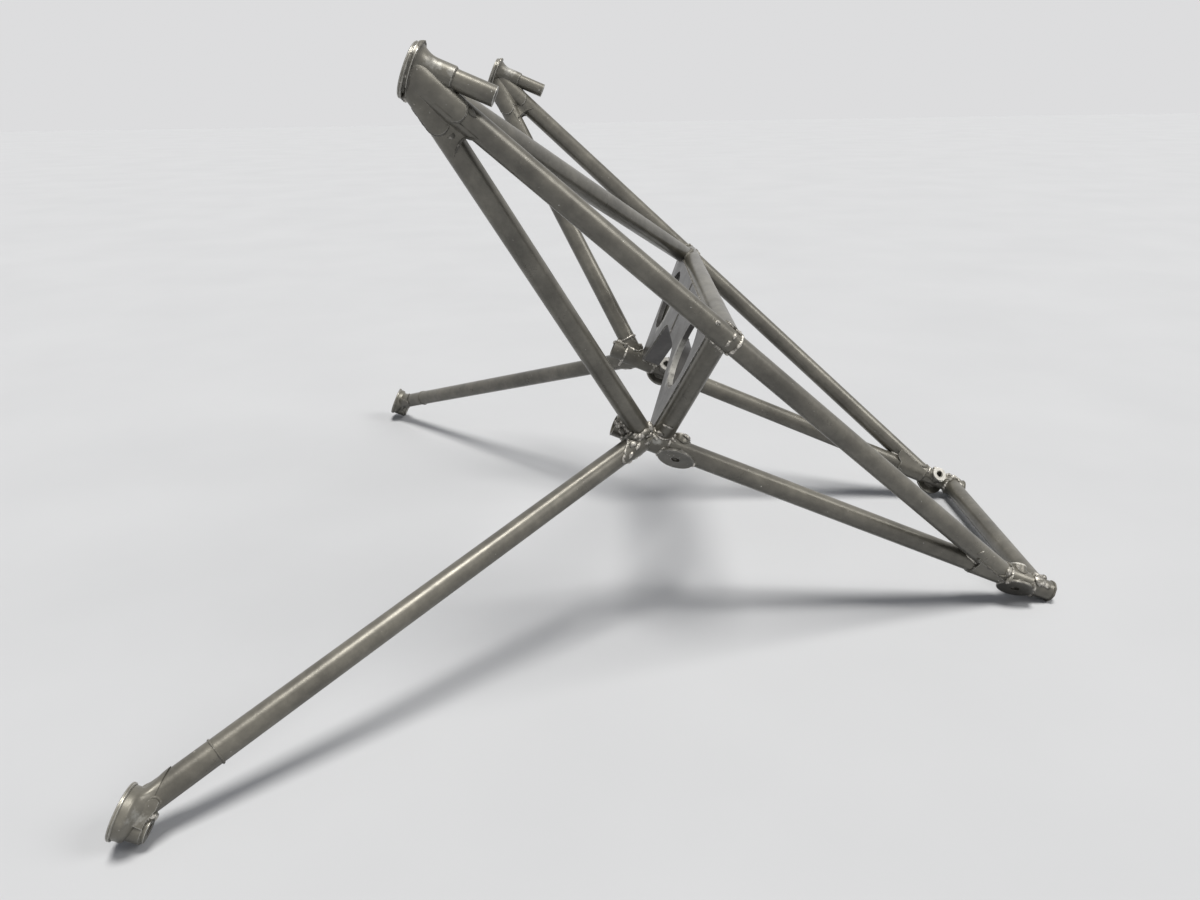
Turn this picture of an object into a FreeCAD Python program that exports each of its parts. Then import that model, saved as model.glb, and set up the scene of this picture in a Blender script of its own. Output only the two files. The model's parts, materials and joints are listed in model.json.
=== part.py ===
import FreeCAD, Part
import math
import os

# Welded tube engine mount of a light aircraft, in millimetres.
# It is modelled in the aircraft's own axes: x forward from the firewall face, y to the left,
# z up from the centre of the upper firewall feet. At the end the whole frame is tipped nose down
# until it stands on its lower firewall feet and its front engine pads, as it does on a floor.

# Tube stock
TUBE_OD = 22.2
FRAME_TUBE_OD = 25.4
TUBE_WALL = 1.65
SHEET = 1.6
COPE_GAP = 0.1

# Firewall feet
FOOT_DISC_OD = 45.5
FOOT_DISC_THICK = 3.2
FOOT_DISC_EDGE = 0.7
FOOT_RING_OD = 41.0
FOOT_RING_THICK = 2.6
FIREWALL_BOLT_BORE = 10.0
UPPER_FOOT_Y = 290.0
SLEEVE_OD = 17.0
SLEEVE_LENGTH = 68.0
SLEEVE_RISE = 7.0
LOWER_FOOT_Y = 511.0
LOWER_FOOT_DROP = 580.0
BARREL_OD = 22.2
BARREL_LENGTH = 22.0
BARREL_DROP = 9.0

# Middle frame: its place, and how far its ends and openings stand in from the tubes they meet
SADDLE_X = 335.0
LEG_TOP_INSET = 18.3
LEG_FOOT_INSET = 6.1
ARCH_CROWN_DROP = 64.3
ARCH_CROWN_HALF = 57.0
ARCH_FOOT_INSET = 28.4
ARCH_RADIUS = 45.0
WEB_FOOT_RISE = 8.5
LIGHT_HOLE_DIA = 78.0
LIGHT_HOLE_INSET = 80.0
LIGHT_HOLE_DROP = 51.3
LIGHT_HOLE_LIP = 6.0
HOOP_DEPTH = 22.0

# Lower engine bearers
BED_Z = -257.5
BED_TAIL = 35.8
BED_REAR_Y = 154.5
BED_FRONT_X = 815.3
BED_FRONT_Y = 145.4
CAP_DOME = 6.0
CAP_PLUG = 8.0
FRONT_CROSS_BACK = 16.3

# Upper tubes and foot tubes: where their centre lines start from the feet, and where they land
LONGERON_REAR_X = -8.0
LONGERON_OUT = 6.5
LONGERON_UNDER_BOLT = 2.5
LONGERON_JOINT_AHEAD = 11.0
LONGERON_LAND_BACK = 56.7
DIAGONAL_BEHIND = 16.2
FOOT_TUBE_REAR_X = 5.0
FOOT_TUBE_OUT = 3.0
FOOT_TUBE_UNDER = 3.5

# Engine isolator seats
PAD_TILT = 45.0
REAR_PAD_AHEAD = 22.0
FRONT_PAD_BACK = 42.8
BUSH_OD = 20.4
BUSH_BORE = 9.8
BUSH_TOP = 14.0
PAD_OD = 40.0
PAD_THICK = 3.2
PAD_EDGE = 0.8
PAD_SEAT = 1.8
WASHER_OD = 19.0
WASHER_THICK = 1.6

# Cross brace from the right upper foot to the left end of the middle frame
BRACE_REAR_X = 14.0
BRACE_FRONT_INSET = 33.0

# Wrapped sheet gussets
FINGER_TIP_HALF = 5.0
WRAP_REACH = 60.0
CUP_BASE_R = 15.5
CUP_FLARE = 14.5
COLLAR_END_X = 36.0
CUP_COVER = 24.0
UPPER_FINGER = 57.0
UPPER_FINGER_HALF = 9.5
UPPER_FINGER_ROOT = 14.0
BED_COLLAR_BEHIND = 17.8
BED_COLLAR_AHEAD = 24.2
COLLAR_COVER = 14.0
BED_FINGER = 23.0
BED_FINGER_DROP = 5.0
BED_FINGER_ROOT = 12.0
NOSE_WRAP_BACK = 43.6
NOSE_WRAP_ROOT_BACK = 5.6
NOSE_TIP_HALF = 7.0
LOWER_WRAP_FINGER = 30.0
LOWER_FINGER_ROOT = 14.0
BARREL_COLLAR_END_X = 22.0

# Cutting tools run past the stock by this much, and a half space cutter is this large
OVERCUT = 2.0
CUTTER_SIZE = 3000.0

# The angle at which the frame stands is found in this many steps, each nearer than the last
STAND_STEPS = 40

LEFT = 1
RIGHT = -1
SIDES = (("left", LEFT), ("right", RIGHT))
TUBE_R = TUBE_OD / 2
FRAME_R = FRAME_TUBE_OD / 2
SLEEVE_R = SLEEVE_OD / 2
PAD_TOP_DROP = TUBE_R - PAD_SEAT
PAD_DROP = PAD_TOP_DROP + PAD_THICK
RING_END_X = FOOT_DISC_THICK + FOOT_RING_THICK
TOP_TUBE_X = SADDLE_X - TUBE_R + FRAME_R
WEB_REAR_X = SADDLE_X - TUBE_R - SHEET
WEB_FRONT_X = SADDLE_X - TUBE_R
WEB_FOOT_Z = BED_Z + WEB_FOOT_RISE
LONGERON_JOINT_X = SADDLE_X + LONGERON_JOINT_AHEAD
DIAGONAL_FRONT_X = SADDLE_X - DIAGONAL_BEHIND
BED_REAR_X = DIAGONAL_FRONT_X - BED_TAIL
BED_COLLAR_REAR_X = DIAGONAL_FRONT_X - BED_COLLAR_BEHIND
BED_COLLAR_FRONT_X = DIAGONAL_FRONT_X + BED_COLLAR_AHEAD
REAR_PAD_X = SADDLE_X + REAR_PAD_AHEAD
FRONT_PAD_X = BED_FRONT_X - FRONT_PAD_BACK
FRONT_CROSS_X = BED_FRONT_X - FRONT_CROSS_BACK
LONGERON_FRONT_X = BED_FRONT_X - LONGERON_LAND_BACK
NOSE_WRAP_REAR_X = LONGERON_FRONT_X - NOSE_WRAP_BACK
NOSE_WRAP_FRONT_X = LONGERON_FRONT_X - NOSE_WRAP_ROOT_BACK
FORWARD = FreeCAD.Vector(1, 0, 0)
NODES = {}


def vec(x, y, z):
    return FreeCAD.Vector(x, y, z)


def at(point, side):
    # The point on the left half moved to the given side of the frame.
    return vec(point[0], point[1] * side, point[2])


def along(a, b, x):
    # The point at x on the line through a and b.
    t = (x - a[0]) / (b[0] - a[0])
    return (x, a[1] + (b[1] - a[1]) * t, a[2] + (b[2] - a[2]) * t)


def bed_point(x):
    rear = (BED_REAR_X, BED_REAR_Y, BED_Z)
    front = (BED_FRONT_X, BED_FRONT_Y, BED_Z)
    return along(rear, front, x)


def longeron_point(x):
    return along(LONGERON_REAR, LONGERON_FRONT, x)


# Work points and widths that follow from the lines of the tubes
LONGERON_REAR = (LONGERON_REAR_X, UPPER_FOOT_Y + LONGERON_OUT, SLEEVE_RISE - LONGERON_UNDER_BOLT)
LONGERON_FRONT = bed_point(LONGERON_FRONT_X)
FOOT_TUBE_REAR = (FOOT_TUBE_REAR_X, LOWER_FOOT_Y + FOOT_TUBE_OUT, -LOWER_FOOT_DROP - FOOT_TUBE_UNDER)
TOP_TUBE_Z = longeron_point(SADDLE_X)[2]
LEG_TOP_Y = longeron_point(SADDLE_X)[1] - LEG_TOP_INSET
LEG_FOOT_Y = bed_point(SADDLE_X)[1] - LEG_FOOT_INSET
BRACE_FRONT_Y = longeron_point(TOP_TUBE_X)[1] - BRACE_FRONT_INSET
ARCH_CROWN_Z = TOP_TUBE_Z - ARCH_CROWN_DROP
ARCH_FOOT_HALF = bed_point(WEB_REAR_X)[1] - ARCH_FOOT_INSET
LIGHT_HOLE_Y = LEG_TOP_Y - LIGHT_HOLE_INSET
LIGHT_HOLE_Z = TOP_TUBE_Z - LIGHT_HOLE_DROP


def work_points(side):
    # Every node of one side truss on the centre lines of its tubes.
    return {
        "rear": at(LONGERON_REAR, side),
        "joint": at(longeron_point(LONGERON_JOINT_X), side),
        "front": at(LONGERON_FRONT, side),
        "bed_rear": at(bed_point(BED_REAR_X), side),
        "bed_front": at(bed_point(BED_FRONT_X), side),
        "bed_node": at(bed_point(DIAGONAL_FRONT_X), side),
        "foot_rear": at(FOOT_TUBE_REAR, side),
        "top_end": vec(TOP_TUBE_X, side * longeron_point(TOP_TUBE_X)[1], TOP_TUBE_Z),
        "leg_top": vec(SADDLE_X, side * LEG_TOP_Y, TOP_TUBE_Z),
        "leg_foot": vec(SADDLE_X, side * LEG_FOOT_Y, BED_Z),
        "upper_bolt": vec(0, side * UPPER_FOOT_Y, SLEEVE_RISE),
        "lower_bolt": vec(0, side * LOWER_FOOT_Y, -LOWER_FOOT_DROP - BARREL_DROP),
    }


def rod(a, b, radius, before=0.0, after=0.0):
    # A round bar from point a to point b, lengthened past each end where asked.
    direction = (b - a).normalize()
    start = a - direction * before
    length = (b - a).Length + before + after
    return Part.makeCylinder(radius, length, start, direction)


def cope_bar(a, b, radius=TUBE_R, before=0.0, after=0.0):
    # The bar that a mating tube's end is coped to, with the fit up gap that the weld fills.
    return rod(a, b, radius + COPE_GAP, before, after)


def main_piece(shape, keep):
    # After a cope only the piece nearest the middle of the member is the member.
    solids = shape.Solids
    if len(solids) == 1:
        return solids[0]
    return min(solids, key=lambda s: s.distToShape(Part.Vertex(keep))[0])


def fused(shapes):
    whole = shapes[0]
    if len(shapes) > 1:
        whole = whole.multiFuse(shapes[1:])
    return whole


def member(a, b, cutters, od=TUBE_OD):
    # A tube between two work points, its ends coped to every mating bar in cutters.
    bore_r = od / 2 - TUBE_WALL
    body = rod(a, b, od / 2).cut(rod(a, b, bore_r, OVERCUT, OVERCUT))
    for cutter in cutters:
        body = body.cut(cutter)
    direction = b - a
    across = direction.cross(vec(0, 0, 1)).normalize()
    wall_point = a + direction * 0.5 + across * (od / 2 - TUBE_WALL / 2)
    return main_piece(body, wall_point)


def behind(x):
    # A large block behind the plane at x.
    size = CUTTER_SIZE
    return Part.makeBox(size, size, size, vec(x - size, -size / 2, -size / 2))


def finger(root, tip, root_half, tip_half):
    # Side view of one tapered gusset finger with a round tip.
    reach = vec(tip[0] - root[0], 0, tip[2] - root[2])
    out = reach.normalize()
    square = vec(-out.z, 0, out.x)
    start = vec(root[0], 0, root[2])
    end = vec(tip[0], 0, tip[2])
    a = start + square * root_half
    b = end + square * tip_half
    c = end - square * tip_half
    d = start - square * root_half
    nose = Part.Arc(b, end + out * tip_half, c).toShape()
    edges = [Part.makeLine(a, b), nose, Part.makeLine(c, d), Part.makeLine(d, a)]
    return Part.Face(Part.Wire(edges))


def strap(root, tip, root_half, tip_half):
    # Side view of one tapered gusset finger with a square end.
    out = vec(tip[0] - root[0], 0, tip[2] - root[2]).normalize()
    square = vec(-out.z, 0, out.x)
    start = vec(root[0], 0, root[2])
    end = vec(tip[0], 0, tip[2])
    corners = [start + square * root_half, end + square * tip_half]
    corners += [end - square * tip_half, start - square * root_half]
    return Part.Face(Part.makePolygon(corners + corners[:1]))


def cup(bolt, grow):
    # The formed cup between a foot's ring and its sleeve: a wide mouth that flares down to a collar.
    axis = bolt + vec(COLLAR_END_X, 0, 0)
    mouth = bolt + vec(RING_END_X - OVERCUT, 0, CUP_BASE_R + grow)
    base = bolt + vec(RING_END_X, 0, CUP_BASE_R + grow)
    throat = bolt + vec(RING_END_X + CUP_FLARE, 0, SLEEVE_R + grow)
    tip = bolt + vec(COLLAR_END_X, 0, SLEEVE_R + grow)
    drop = CUP_BASE_R - SLEEVE_R
    flare_r = (CUP_FLARE ** 2 + drop ** 2) / (2 * drop)
    centre = throat + vec(0, 0, flare_r)
    middle = ((base - centre).normalize() + (throat - centre).normalize()).normalize()
    flare = Part.Arc(base, centre + middle * flare_r, throat).toShape()
    inner = bolt + vec(RING_END_X - OVERCUT, 0, 0)
    edges = [Part.makeLine(mouth, base), flare, Part.makeLine(throat, tip)]
    edges += [Part.makeLine(tip, axis), Part.makeLine(axis, inner), Part.makeLine(inner, mouth)]
    return Part.Face(Part.Wire(edges)).revolve(bolt, FORWARD, 360)


def wrap(skins, cores, outlines, y, cutters):
    # Sheet that follows the outside of several bars: the bars grown by the sheet's thickness,
    # less the bars themselves, trimmed to a side view made of several outlines around the distance y.
    prisms = []
    for outline in outlines:
        outline.translate(vec(0, y - WRAP_REACH, 0))
        prisms.append(outline.extrude(vec(0, 2 * WRAP_REACH, 0)))
    sheet = fused(skins).common(fused(prisms)).cut(fused(cores))
    for cutter in cutters:
        sheet = sheet.cut(cutter)
    return max(sheet.Solids, key=lambda s: s.Volume)


def side_triangle(a, b, c):
    return Part.Face(Part.makePolygon([vec(q[0], 0, q[2]) for q in (a, b, c, a)]))


def crotch_block(node, a, b, half):
    # Flat sided block between two tubes that meet at a node, half as thick as given each way.
    face = Part.Face(Part.makePolygon([node, a, b, node]))
    square = (a - node).cross(b - node).normalize()
    face.translate(square * -half)
    return face.extrude(square * (2 * half))


def skins_and_cores(lines):
    skins = [rod(a, b, r + SHEET) for a, b, r in lines]
    cores = [rod(a, b, r, OVERCUT, OVERCUT) for a, b, r in lines]
    return skins, cores


def pad_up(side):
    # Unit vector up the axis of an isolator seat: up and towards the middle of the engine.
    tilt = math.radians(PAD_TILT)
    return vec(0, -side * math.sin(tilt), math.cos(tilt))


def bush_bar(x, side, over=0.0):
    # Solid bar in the place of an isolator bush, lengthened at both ends where asked.
    centre = at(bed_point(x), side)
    up = pad_up(side)
    return rod(centre - up * PAD_TOP_DROP, centre + up * BUSH_TOP, BUSH_OD / 2, over, over)


def pad_bar(x, side, over=0.0):
    # Solid disc in the place of a pad, thicker on its outer face where asked.
    centre = at(bed_point(x), side)
    up = pad_up(side)
    return rod(centre - up * PAD_DROP, centre - up * PAD_TOP_DROP, PAD_OD / 2, over)


def seat_pad(x, side, hole):
    # Round pad with a chamfered rim, coped to the bearer but left full under the bush.
    pad = pad_bar(x, side)
    pad = pad.makeChamfer(PAD_EDGE, [pad.Edges[0], pad.Edges[2]])
    bearer = rod(at(bed_point(BED_REAR_X), side), at(bed_point(BED_FRONT_X), side), TUBE_R)
    return pad.cut(bearer.cut(bush_bar(x, side, OVERCUT))).cut(hole)


def stand_angle():
    # Nose down angle at which the lower feet and the front pads touch one floor.
    up = math.cos(math.radians(PAD_TILT))
    pad_z = BED_Z - PAD_DROP * up
    foot_x = BARREL_COLLAR_END_X
    foot_z = -LOWER_FOOT_DROP - BARREL_DROP - BARREL_OD / 2 - SHEET
    angle = 0.0
    for _ in range(STAND_STEPS):
        reach = PAD_OD / 2 * math.sqrt(1 - (up * math.cos(angle)) ** 2) / math.cos(angle)
        angle = math.atan2(pad_z - reach - foot_z, FRONT_PAD_X - foot_x)
    return angle


def firewall_disc(centre, hole):
    disc = Part.makeCylinder(FOOT_DISC_OD / 2, FOOT_DISC_THICK, centre, FORWARD)
    disc = disc.makeChamfer(FOOT_DISC_EDGE, [disc.Edges[0], disc.Edges[2]])
    return disc.cut(hole)


def add_upper_foot(name, side, p):
    bolt = p["upper_bolt"]
    sleeve_start = bolt + FORWARD * FOOT_DISC_THICK
    sleeve_end = sleeve_start + FORWARD * SLEEVE_LENGTH
    hole = rod(bolt, sleeve_end, FIREWALL_BOLT_BORE / 2, OVERCUT, OVERCUT)
    sleeve = rod(sleeve_start, sleeve_end, SLEEVE_R)
    foot = vec(0, side * UPPER_FOOT_Y, 0)
    ring_start = vec(FOOT_DISC_THICK, side * UPPER_FOOT_Y, SLEEVE_RISE / 2)
    ring = Part.makeCylinder(FOOT_RING_OD / 2, FOOT_RING_THICK, ring_start, FORWARD)
    NODES["upper_foot_disc_" + name] = firewall_disc(foot, hole)
    NODES["upper_foot_ring_" + name] = ring.cut(sleeve)
    NODES["upper_bolt_sleeve_" + name] = sleeve.cut(hole)
    return rod(sleeve_start, sleeve_end, SLEEVE_R, OVERCUT, 0)


def add_upper_tubes(name, side, p, sleeve):
    # The longeron comes in two lengths, butt welded just ahead of the middle frame.
    ring_face = behind(RING_END_X)
    bed = cope_bar(p["bed_rear"], p["bed_front"], TUBE_R, OVERCUT, OVERCUT)
    longeron = cope_bar(p["rear"], p["joint"])
    cutters = [ring_face, sleeve]
    NODES["upper_rear_tube_" + name] = member(p["rear"], p["joint"], cutters)
    cutters = [bed, pad_bar(FRONT_PAD_X, side)]
    NODES["upper_front_tube_" + name] = member(p["joint"], p["front"], cutters)
    cutters = [ring_face, sleeve, longeron, bed]
    NODES["diagonal_tube_" + name] = member(p["rear"], p["bed_node"], cutters)


def add_lower_foot(name, side, p):
    bolt = p["lower_bolt"]
    start = bolt + FORWARD * FOOT_DISC_THICK
    end = start + FORWARD * BARREL_LENGTH
    hole = rod(bolt, end, FIREWALL_BOLT_BORE / 2, OVERCUT, OVERCUT)
    barrel = rod(start, end, BARREL_OD / 2)
    centre = vec(0, side * LOWER_FOOT_Y, -LOWER_FOOT_DROP)
    NODES["lower_foot_disc_" + name] = firewall_disc(centre, hole)
    NODES["lower_foot_barrel_" + name] = barrel.cut(hole)
    bed = cope_bar(p["bed_rear"], p["bed_front"])
    diagonal = cope_bar(p["rear"], p["bed_node"])
    cutters = [behind(FOOT_DISC_THICK), barrel, bed, diagonal]
    NODES["foot_tube_" + name] = member(p["foot_rear"], p["bed_node"], cutters)
    foot_up = (p["bed_node"] - p["foot_rear"]).normalize()
    tip = p["foot_rear"] + foot_up * LOWER_WRAP_FINGER
    root = vec(FOOT_DISC_THICK, 0, p["foot_rear"].z)
    collar_end = vec(BARREL_COLLAR_END_X, bolt.y, bolt.z)
    outlines = [finger(root, tip, LOWER_FINGER_ROOT, FINGER_TIP_HALF)]
    outlines.append(strap(bolt, collar_end, COLLAR_COVER, COLLAR_COVER))
    outlines.append(side_triangle(root, tip, collar_end))
    lines = [(p["foot_rear"], p["bed_node"], TUBE_R), (start, end, BARREL_OD / 2)]
    skins = [rod(a, b, r + SHEET) for a, b, r in lines]
    cores = [rod(a, b, r, 0, OVERCUT) for a, b, r in lines]
    skins.append(crotch_block(p["foot_rear"], tip, collar_end, TUBE_R + SHEET))
    cores.append(crotch_block(p["foot_rear"], tip, collar_end, TUBE_R))
    cutters = [behind(FOOT_DISC_THICK)]
    NODES["lower_wrap_" + name] = wrap(skins, cores, outlines, side * LOWER_FOOT_Y, cutters)


def add_bearer(name, side, p):
    # Lower engine bearer with an open rear end, a front cap and two cross drilled isolator seats.
    up = pad_up(side)
    bars = []
    for where, x in (("rear", REAR_PAD_X), ("front", FRONT_PAD_X)):
        centre = at(bed_point(x), side)
        top = centre + up * BUSH_TOP
        hole = rod(centre - up * PAD_DROP, top + up * WASHER_THICK, BUSH_BORE / 2, OVERCUT, OVERCUT)
        washer = Part.makeCylinder(WASHER_OD / 2, WASHER_THICK, top, up)
        NODES["%s_bush_%s" % (where, name)] = bush_bar(x, side).cut(hole)
        NODES["%s_pad_%s" % (where, name)] = seat_pad(x, side, hole)
        NODES["%s_washer_%s" % (where, name)] = washer.cut(hole)
        bars.append(bush_bar(x, side, OVERCUT))
    NODES["bed_tube_" + name] = member(p["bed_rear"], p["bed_front"], bars)
    line = (p["bed_front"] - p["bed_rear"]).normalize()
    end = p["bed_front"]
    plug = rod(end - line * CAP_PLUG, end, TUBE_R - TUBE_WALL)
    dome_r = (TUBE_R ** 2 + CAP_DOME ** 2) / (2 * CAP_DOME)
    dome = Part.makeSphere(dome_r, end + line * (CAP_DOME - dome_r))
    dome = dome.common(rod(end, end + line * CAP_DOME, TUBE_R, 0, OVERCUT))
    NODES["bed_cap_" + name] = plug.fuse(dome).removeSplitter()


def add_middle_leg(name, side, p):
    top_tube = cope_bar(vec(TOP_TUBE_X, 0, TOP_TUBE_Z), p["top_end"], FRAME_R)
    longeron = cope_bar(p["rear"], p["joint"])
    bed = cope_bar(p["bed_rear"], p["bed_front"])
    diagonal = cope_bar(p["rear"], p["bed_node"])
    cutters = [top_tube, longeron, bed, diagonal, bush_bar(REAR_PAD_X, side)]
    NODES["saddle_leg_" + name] = member(p["leg_top"], p["leg_foot"], cutters)


def add_upper_wrap(name, side, p):
    rear = p["rear"]
    bolt = p["upper_bolt"]
    outlines = [strap(bolt, bolt + FORWARD * COLLAR_END_X, CUP_COVER, CUP_COVER)]
    for target in (p["joint"], p["bed_node"]):
        tip = rear + (target - rear).normalize() * UPPER_FINGER
        outlines.append(finger(rear, tip, UPPER_FINGER_ROOT, UPPER_FINGER_HALF))
    lines = [(rear, p["joint"], TUBE_R), (rear, p["bed_node"], TUBE_R)]
    skins, cores = skins_and_cores(lines)
    skins.append(cup(bolt, SHEET))
    cores.append(cup(bolt, 0.0))
    cores.append(rod(bolt, bolt + FORWARD * (FOOT_DISC_THICK + SLEEVE_LENGTH), SLEEVE_R))
    cutters = [behind(RING_END_X)]
    NODES["upper_wrap_" + name] = wrap(skins, cores, outlines, side * UPPER_FOOT_Y, cutters)


def add_bed_wrap(name, side, p):
    # Collar on the bearer where the diagonal and the foot tube meet it, with a finger down
    # the foot tube.
    node = p["bed_node"]
    foot_line = (p["foot_rear"] - node).normalize()
    tip = node + foot_line * BED_FINGER - vec(0, 0, BED_FINGER_DROP)
    collar_ends = (bed_point(BED_COLLAR_REAR_X), bed_point(BED_COLLAR_FRONT_X))
    outlines = [strap(*collar_ends, COLLAR_COVER, COLLAR_COVER)]
    outlines.append(finger(node, tip, BED_FINGER_ROOT, FINGER_TIP_HALF))
    lines = [(p["bed_rear"], p["bed_front"], TUBE_R), (p["foot_rear"], node, TUBE_R)]
    skins, cores = skins_and_cores(lines)
    cutters = [rod(p["rear"], node, TUBE_R), rod(p["leg_top"], p["leg_foot"], TUBE_R)]
    cutters += [bush_bar(REAR_PAD_X, side, OVERCUT), pad_bar(REAR_PAD_X, side, OVERCUT)]
    NODES["bed_wrap_" + name] = wrap(skins, cores, outlines, side * BED_REAR_Y, cutters)


def add_nose_wrap(name, side, p):
    # Boot where the longeron comes down onto the bearer: its sides run flat from tube to tube.
    node = p["front"]
    upper = at(longeron_point(NOSE_WRAP_REAR_X), side)
    lower = at(bed_point(NOSE_WRAP_REAR_X), side)
    upper_root = longeron_point(NOSE_WRAP_FRONT_X)
    lower_root = bed_point(NOSE_WRAP_FRONT_X)
    outlines = [finger(upper_root, upper, COLLAR_COVER, NOSE_TIP_HALF)]
    outlines.append(strap(lower_root, lower, COLLAR_COVER, COLLAR_COVER))
    outlines.append(side_triangle(upper_root, upper, lower))
    lines = [(p["bed_rear"], p["bed_front"], TUBE_R), (p["joint"], node, TUBE_R)]
    skins, cores = skins_and_cores(lines)
    far_upper = at(longeron_point(NOSE_WRAP_REAR_X - COLLAR_COVER), side)
    far_lower = at(bed_point(NOSE_WRAP_REAR_X - COLLAR_COVER), side)
    skins.append(crotch_block(node, far_upper, far_lower, TUBE_R + SHEET))
    cores.append(crotch_block(node, far_upper, far_lower, TUBE_R))
    cutters = [bush_bar(FRONT_PAD_X, side, OVERCUT), pad_bar(FRONT_PAD_X, side, OVERCUT)]
    NODES["nose_wrap_" + name] = wrap(skins, cores, outlines, side * BED_FRONT_Y, cutters)


def arch_edges(side, plane_x, grow):
    # One half of the arch on the plane at plane_x, grown outward: its edges and its two ends.
    slope = math.atan2(ARCH_CROWN_Z - WEB_FOOT_Z, ARCH_FOOT_HALF - ARCH_CROWN_HALF)
    crown_half = ARCH_CROWN_HALF + grow * math.tan(slope / 2)
    crown_z = ARCH_CROWN_Z + grow
    foot = vec(plane_x, side * (ARCH_FOOT_HALF + grow / math.sin(slope)), WEB_FOOT_Z)
    corner = vec(plane_x, side * crown_half, crown_z)
    radius = ARCH_RADIUS + grow
    back = radius * math.tan(slope / 2)
    on_leg = corner + (foot - corner).normalize() * back
    on_crown = corner - vec(0, side * back, 0)
    centre = on_crown - vec(0, 0, radius)
    middle = (math.pi - slope) / 2
    bulge = centre + vec(0, side * math.cos(middle), math.sin(middle)) * radius
    crown = vec(plane_x, 0, crown_z)
    bend = Part.Arc(on_leg, bulge, on_crown).toShape()
    edges = [Part.makeLine(foot, on_leg), bend, Part.makeLine(on_crown, crown)]
    return edges, foot, crown


def closed_face(edges):
    return Part.Face(Part.Wire(Part.__sortEdges__(edges)))


def web_cutters(p):
    # The bearer with its collar, and the diagonal, as the middle frame's sheet is coped to them.
    bearer = rod(p["bed_rear"], p["bed_front"], TUBE_R + SHEET)
    return [bearer, rod(p["rear"], p["bed_node"], TUBE_R)]


def add_middle_web(name, side, p):
    # Half of the plate behind the middle frame, with a round hole whose lip is turned forward.
    edges, foot, crown = arch_edges(side, WEB_REAR_X, 0.0)
    top_z = TOP_TUBE_Z
    top_middle = vec(WEB_REAR_X, 0, top_z)
    top_corner = vec(WEB_REAR_X, side * LEG_TOP_Y, top_z)
    leg_slope = (LEG_TOP_Y - LEG_FOOT_Y) / (top_z - BED_Z)
    leg_y = LEG_FOOT_Y + leg_slope * (WEB_FOOT_Z - BED_Z)
    low_corner = vec(WEB_REAR_X, side * leg_y, WEB_FOOT_Z)
    edges += [Part.makeLine(crown, top_middle), Part.makeLine(top_middle, top_corner)]
    edges += [Part.makeLine(top_corner, low_corner), Part.makeLine(low_corner, foot)]
    plate = closed_face(edges).extrude(FORWARD * SHEET)
    centre = vec(WEB_REAR_X, side * LIGHT_HOLE_Y, LIGHT_HOLE_Z)
    lip = Part.makeCylinder(LIGHT_HOLE_DIA / 2 + SHEET, LIGHT_HOLE_LIP, centre, FORWARD)
    hole = Part.makeCylinder(LIGHT_HOLE_DIA / 2, LIGHT_HOLE_LIP, centre, FORWARD)
    web = plate.fuse(lip).cut(hole).removeSplitter()
    for cutter in web_cutters(p):
        web = web.cut(cutter)
    NODES["saddle_web_" + name] = web.Solids[0]


def add_middle_hoop(name, side, p):
    # Half of the strip that stands forward from the web along the arch.
    inside, foot_in, crown_in = arch_edges(side, WEB_FRONT_X, 0.0)
    outside, foot_out, crown_out = arch_edges(side, WEB_FRONT_X, SHEET)
    ends = [Part.makeLine(crown_in, crown_out), Part.makeLine(foot_in, foot_out)]
    hoop = closed_face(inside + outside + ends).extrude(FORWARD * HOOP_DEPTH)
    for cutter in web_cutters(p):
        hoop = hoop.cut(cutter)
    NODES["saddle_hoop_" + name] = hoop.Solids[0]


def add_cross_members(left, right):
    longerons = [cope_bar(p["rear"], p["front"]) for p in (left, right)]
    bearers = [cope_bar(p["bed_rear"], p["bed_front"]) for p in (left, right)]
    top_ends = (right["top_end"], left["top_end"])
    NODES["saddle_top_tube"] = member(*top_ends, longerons, FRAME_TUBE_OD)
    cross_left = at(bed_point(FRONT_CROSS_X), LEFT)
    cross_right = at(bed_point(FRONT_CROSS_X), RIGHT)
    NODES["front_cross_tube"] = member(cross_right, cross_left, bearers)

    # Brace over the engine bay, from the right upper foot to the left end of the middle frame
    brace_rear = at(longeron_point(BRACE_REAR_X), RIGHT)
    brace_front = vec(SADDLE_X, BRACE_FRONT_Y, TOP_TUBE_Z)
    bolt = right["upper_bolt"]
    sleeve = rod(bolt, bolt + FORWARD * (FOOT_DISC_THICK + SLEEVE_LENGTH), SLEEVE_R)
    diagonal = cope_bar(right["rear"], right["bed_node"])
    cutters = longerons + [cope_bar(*top_ends, FRAME_R), sleeve, diagonal]
    cutters.append(NODES["upper_wrap_right"])
    NODES["cross_brace"] = member(brace_rear, brace_front, cutters)
    notched = NODES["saddle_web_left"].cut(cope_bar(brace_rear, brace_front))
    NODES["saddle_web_left"] = notched.Solids[0]


POINTS = {name: work_points(side) for name, side in SIDES}
for name, side in SIDES:
    points = POINTS[name]
    sleeve_bar = add_upper_foot(name, side, points)
    add_upper_tubes(name, side, points, sleeve_bar)
    add_lower_foot(name, side, points)
    add_bearer(name, side, points)
    add_middle_leg(name, side, points)
    add_upper_wrap(name, side, points)
    add_bed_wrap(name, side, points)
    add_nose_wrap(name, side, points)
    add_middle_web(name, side, points)
    add_middle_hoop(name, side, points)
add_cross_members(POINTS["left"], POINTS["right"])

# Stand the frame on the floor: tip it nose down, then put the origin under the middle of its box
angle = stand_angle()
for shape in NODES.values():
    shape.rotate(vec(0, 0, 0), vec(0, 1, 0), math.degrees(angle))
box = FreeCAD.BoundBox()
for shape in NODES.values():
    box.add(shape.optimalBoundingBox(False, False))
shift = vec(-(box.XMin + box.XMax) / 2, -(box.YMin + box.YMax) / 2, -box.ZMin)

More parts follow.
